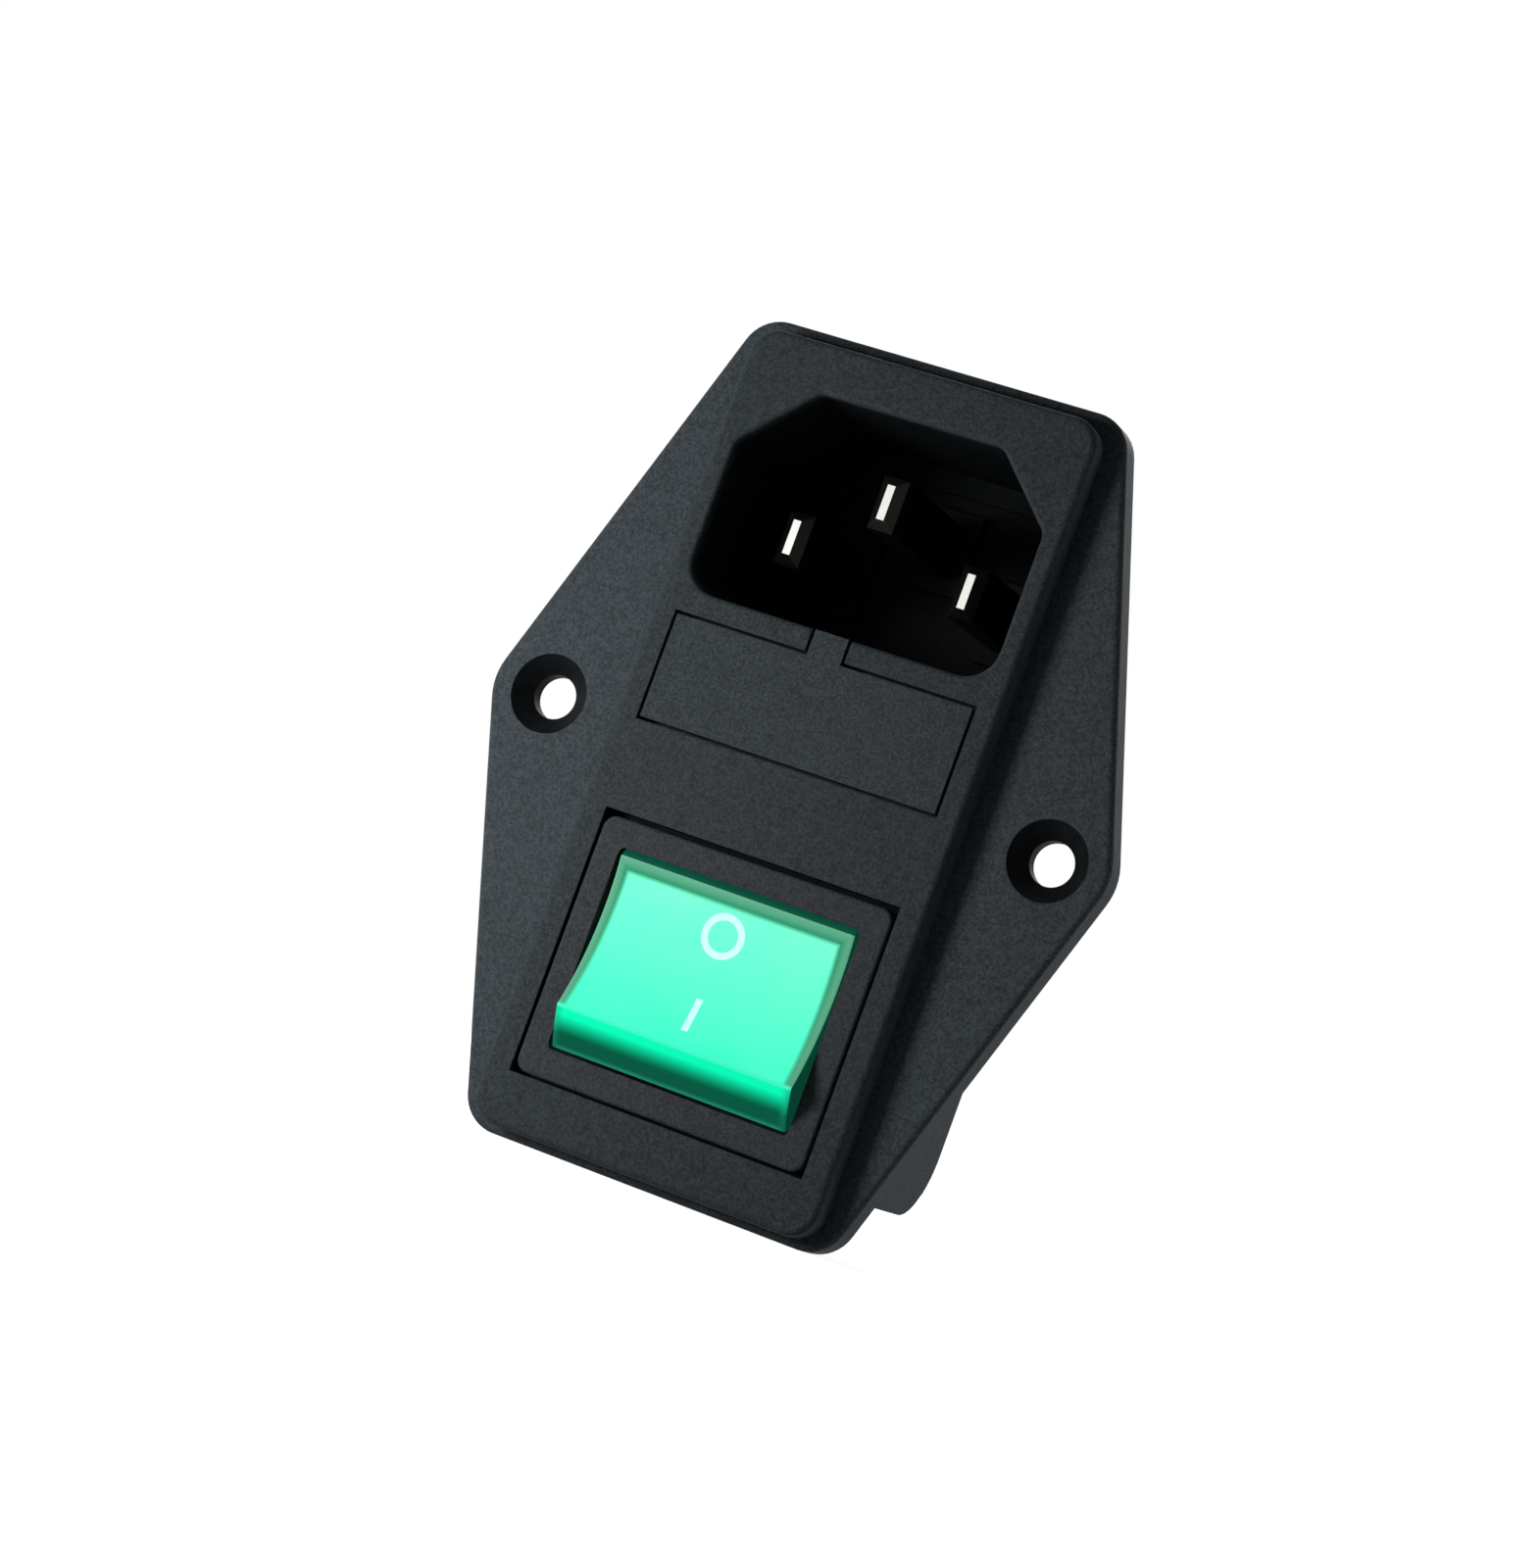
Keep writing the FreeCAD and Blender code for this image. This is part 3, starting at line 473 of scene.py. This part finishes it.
def cap_face(finish, side, along):
    """Bright mint that pales towards the O end, with darker strips of painted shade along the rim, where the
    cap's own walls stand under it.
    """
    mint = finish.blend(finish.ramp(along, -rocker_edge_u, rocker_edge_u), face_low, face_high)
    cloud = finish.ramp(finish.noise(face_cloud_size), *noise_narrow, 0.0, face_cloud_share)
    mint = finish.blend(cloud, mint, face_cloud)
    rim = finish.maths("MINIMUM", side, finish.maths("SUBTRACT", rocker_edge_u, along))
    # Painted shade: darker strips along the rim
    strip = finish.blend(finish.ramp(rim, *strip_inner_fade), strip_middle, strip_inner)
    strip = finish.blend(finish.ramp(rim, *strip_outer_fade), strip_outer, strip)
    width = finish.ramp(along, -rocker_edge_u, rocker_edge_u, *strip_widths)
    return finish.blend(finish.ramp(finish.maths("SUBTRACT", rim, width), *strip_edge), strip, mint)


def cap_end(finish, side, fall):
    """End wall under I, painted light and shade: bright below its arris, dark lower down, a little lighter at
    its foot.
    """
    glow = finish.maths("POWER", finish.ramp(fall, *end_fade, 1.0, 0.0), end_fade_power)
    wall = finish.blend(glow, end_dark, end_bright)
    wall = finish.blend(finish.ramp(fall, *end_foot_fade), wall, end_foot)
    corner = finish.blend(finish.ramp(fall, *corner_fade), corner_bright, corner_dark)
    return finish.blend(finish.ramp(side, *corner_width), corner, wall)


def cap_far_end(finish, fall):
    """End wall over O, painted light and shade: dark at its arris and foot, bright between."""
    wall = finish.blend(finish.ramp(fall, *far_top_fade), far_top, far_middle)
    return finish.blend(finish.ramp(fall, *far_foot_fade), wall, far_foot)


def green_lens(name):
    """Clear green cap lit from inside, painted by where a point lies on the rocker: painted light and shade
    on its rim and end walls, a painted highlight along the arris and painted shade on its flanks.
    """
    finish = Finish(name, Specular_IOR_Level=cap_gloss)
    side, along, height = rocker_places(finish)
    fall = finish.maths("SUBTRACT", rocker_edge_v, height)
    past_edge = finish.maths("SUBTRACT", -rocker_edge_u, along)
    # Painted light and shade on the end wall under I
    colour = finish.blend(finish.ramp(past_edge, *arris_turn), cap_face(finish, side, along),
                          cap_end(finish, side, fall))
    # Painted highlight along the arris under I
    off_arris = finish.ramp(finish.maths("ABSOLUTE", past_edge), *arris_fade)
    colour = finish.blend(off_arris, arris_highlight, colour)
    # Painted light and shade on the end wall over O
    at_far_end = finish.maths("GREATER_THAN", along, rocker_edge_u + far_start)
    colour = finish.blend(at_far_end, colour, cap_far_end(finish, fall))
    # Painted shade on the cap's flanks
    colour = finish.blend(finish.ramp(side, *flank_fade), flank_dark, colour)
    finish.lit(colour)
    finish.set("Roughness", finish.ramp(finish.noise(cap_roughness_size), *noise_wide, *cap_roughness))
    finish.bump(finish.noise(cap_wave_size, detail=1.0), cap_wave_depth)
    return finish.material


def lit_diffuser(name):
    """Milky insert under the cap."""
    finish = Finish(name, Roughness=0.5)
    mottle = finish.noise(diffuser_mottle_size, detail=3.0)
    finish.lit(finish.blend(finish.ramp(mottle, *noise_narrow), *diffuser_colours))
    return finish.material


def mark_ink(name):
    finish = Finish(name, Roughness=0.45, Specular_IOR_Level=0.2)
    patchy = finish.noise(ink_patch_size)
    finish.lit(finish.blend(finish.ramp(patchy, *noise_wide), *ink_colours))
    return finish.material


def nylon(name):
    finish = Finish(name, Subsurface_Weight=0.2, Subsurface_Scale=0.4 * mm, Roughness=0.42)
    cloud = finish.noise(nylon_cloud_size)
    finish.set("Base Color", finish.blend(finish.ramp(cloud, *noise_narrow), *nylon_colours))
    return finish.material


def banded_resistor(name, low, high):
    """Lacquered body with the four colour rings that such a resistor wears, between two heights."""
    finish = Finish(name, Roughness=0.32)
    place = finish.ramp(finish.coordinates(finish.place)[2], low, high)
    lacquer = finish.noise(lacquer_size)
    colour = finish.blend(finish.ramp(lacquer, *noise_wide), *lacquer_colours)
    for centre, ring in resistor_rings:
        colour = finish.blend(finish.below(finish.off(place, centre), ring_half_share), colour, ring)
    finish.set("Base Color", colour)
    finish.bump(lacquer, lacquer_depth)
    return finish.material


housing_finish = moulded_black("housing_black", black, grain=0.2 * mm, depth=0.045 * mm, roughness=0.5,
                               shade_hollows=True)
insert_finish = moulded_black("insert_black", bezel_black, grain=0.2 * mm, depth=0.02 * mm, roughness=0.45,
                              shade_hollows=True)
drawer_finish = moulded_black("drawer_black", scaled(black, drawer_shade), grain=0.19 * mm, depth=0.04 * mm,
                              roughness=0.5)
bezel_finish = moulded_black("bezel_black", bezel_black, grain=0.17 * mm, depth=0.028 * mm, roughness=0.5)
pin_finish = contact_pin("pin_nickel", nickel)
clip_finish = plated("clip_nickel", nickel, roughness=0.24, grain_axis=1)
cap_finish = plated("cap_nickel", nickel, roughness=0.16, grain_axis=0)
terminal_finish = plated("terminal_brass", brass, roughness=0.26, grain_axis=1)
contact_finish = plated("contact_silver", silver, roughness=0.3, grain_axis=0)
wire_finish = plated("fuse_wire", silver, roughness=0.25, grain_axis=0)
glass_finish = clear_glass("fuse_glass")
ink_finish = mark_ink("mark_ink")
resistor_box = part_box("lamp_resistor")

# The finish of each node, by the start of its name
finishes = {
    "housing": housing_finish,
    "inlet_insert": insert_finish,
    "line_pin": pin_finish,
    "neutral_pin": pin_finish,
    "earth_pin": pin_finish,
    "fuse_link": clip_finish,
    "fuse_clip": clip_finish,
    "fuse_drawer": drawer_finish,
    "fuse_glass": glass_finish,
    "fuse_cap": cap_finish,
    "fuse_wire": wire_finish,
    "spare_fuse_glass": glass_finish,
    "spare_fuse_cap": cap_finish,
    "spare_fuse_wire": wire_finish,
    "switch_case": bezel_finish,
    "rocker_lens": green_lens("green_lens"),
    "rocker_body": lit_diffuser("milky_diffuser"),
    "plunger_spring": plated("spring_steel", steel, roughness=0.28, grain_axis=1),
    "plunger": nylon("natural_nylon"),
    "contact_bridge": plated("bridge_brass", brass, roughness=0.28, grain_axis=2),
    "moving_contact": contact_finish,
    "fixed_contact": contact_finish,
    "feed_terminal": terminal_finish,
    "load_terminal": terminal_finish,
    "lamp_bulb": glass_finish,
    "lamp_resistor": banded_resistor("lacquered_resistor", resistor_box[0][2], resistor_box[1][2]),
    "lamp_lead": contact_finish,
    "resistor_lead": contact_finish,
}

for name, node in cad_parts.items():
    start = max((key for key in finishes if name.startswith(key)), key=len)
    node.data.materials.clear()
    node.data.materials.append(finishes[start])


# Switch marks

def on_rocker(x, along, lift):
    """Point on the rocker's dished face, turned with it. along runs from the I end to the O end."""
    dish_radius = (rocker_edge_u ** 2 + rocker_dish ** 2) / (2 * rocker_dish)
    height = rocker_edge_v - rocker_dish + dish_radius - math.sqrt(dish_radius ** 2 - along ** 2)
    level = Vector((x, -(height + lift), along))
    return pivot + Matrix.Rotation(-rocker_tilt, 3, "X") @ level


def ink_piece(name, rows, closed):
    """A thin printed strip: each row is (left, right) on the face, extruded by the ink's thickness."""
    mesh = bmesh.new()
    corners = []
    for left, right in rows:
        places = ((*left, 0), (*right, 0), (*right, ink_thick), (*left, ink_thick))
        corners.append([mesh.verts.new(on_rocker(*place)) for place in places])
    count = len(corners)
    for i in range(count if closed else count - 1):
        here, after = corners[i], corners[(i + 1) % count]
        for side in range(4):
            mesh.faces.new((here[side], here[(side + 1) % 4], after[(side + 1) % 4], after[side]))
    if not closed:
        mesh.faces.new(corners[0])
        mesh.faces.new(reversed(corners[-1]))
    bmesh.ops.recalc_face_normals(mesh, faces=mesh.faces)
    data = bpy.data.meshes.new(name)
    mesh.to_mesh(data)
    mesh.free()
    piece = bpy.data.objects.new(name, data)
    bpy.context.scene.collection.objects.link(piece)
    data.materials.append(ink_finish)
    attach(piece, "rocker")


ring_rows = []
for step in range(ring_steps):
    turn = 2 * math.pi * step / ring_steps
    across, up = math.cos(turn), math.sin(turn)
    ring_rows.append(((ring_inner * across, ring_place + ring_inner * up),
                      (ring_outer * across, ring_place + ring_outer * up)))
ink_piece("mark_ring", ring_rows, closed=True)

bar_rows = []
for step in range(bar_steps + 1):
    along = bar_place - bar_length / 2 + bar_length * step / bar_steps
    bar_rows.append(((bar_shift - bar_width / 2, along), (bar_shift + bar_width / 2, along)))
ink_piece("mark_bar", bar_rows, closed=False)


# Studio: pale floor and white surroundings

def white_to_eye(nodes):
    """1 for rays that show the background to the eye, directly or in metal and glass."""
    path = nodes.node("ShaderNodeLightPath")
    value = path.outputs["Is Camera Ray"]
    for name in ("Is Glossy Ray", "Is Transmission Ray"):
        value = nodes.maths("MAXIMUM", value, path.outputs[name])
    return value


world = bpy.data.worlds.new("studio")
bpy.context.scene.world = world
world.use_nodes = True
world_nodes = Nodes(world.node_tree)
sky = world.node_tree.nodes["Background"]
world_nodes.feed(sky.inputs["Color"], sky_white)
sky_strength = world_nodes.ramp(white_to_eye(world_nodes), 0, 1, ambient, background_white)
world_nodes.feed(sky.inputs["Strength"], sky_strength)

floor_mesh = bpy.data.meshes.new("floor")
floor_corners = [(-1, -1), (1, -1), (1, 1), (-1, 1)]
floor_mesh.from_pydata([(x * floor_half, y * floor_half, cad_box[0][2]) for x, y in floor_corners], [],
                       [(0, 1, 2, 3)])
floor = bpy.data.objects.new("floor", floor_mesh)
bpy.context.scene.collection.objects.link(floor)

floor_paint = bpy.data.materials.new("pale_floor")
floor_paint.use_nodes = True
floor_paint.node_tree.nodes.clear()
floor_nodes = Nodes(floor_paint.node_tree)
matte = floor_nodes.node("ShaderNodeBsdfDiffuse", {"Color": floor_grey})
away = floor_nodes.length(floor_nodes.node("ShaderNodeTexCoord").outputs["Object"])
seen_glow = floor_nodes.ramp(away, *floor_reach, *floor_glow)
glow = floor_nodes.node("ShaderNodeEmission",
                        {"Strength": floor_nodes.ramp(white_to_eye(floor_nodes), 0, 1, 0, seen_glow)})
both = floor_nodes.node("ShaderNodeAddShader", {0: matte.outputs[0], 1: glow.outputs[0]})
floor_nodes.node("ShaderNodeOutputMaterial", {"Surface": both.outputs[0]})
floor_mesh.materials.append(floor_paint)

for name, place, side, power in lamps:
    lamp = bpy.data.lights.new(name, "AREA")
    lamp.shape = "SQUARE"
    lamp.size = side
    lamp.energy = power
    holder = bpy.data.objects.new(name, lamp)
    holder.location = place
    holder.rotation_euler = (-Vector(place)).to_track_quat("-Z", "Y").to_euler()
    bpy.context.scene.collection.objects.link(holder)

# Camera
lens = bpy.data.cameras.new("camera")
lens.lens = camera_lens
lens.sensor_width = camera_sensor
lens.clip_start = camera_near
camera = bpy.data.objects.new("camera", lens)
aim = (camera_aim - camera_place).to_track_quat("-Z", "Y").to_matrix().to_4x4()
camera.matrix_world = Matrix.Translation(camera_place) @ aim @ Matrix.Rotation(camera_roll, 4, "Z")
bpy.context.scene.collection.objects.link(camera)
bpy.context.scene.camera = camera
bpy.context.scene.view_settings.view_transform = "Standard"
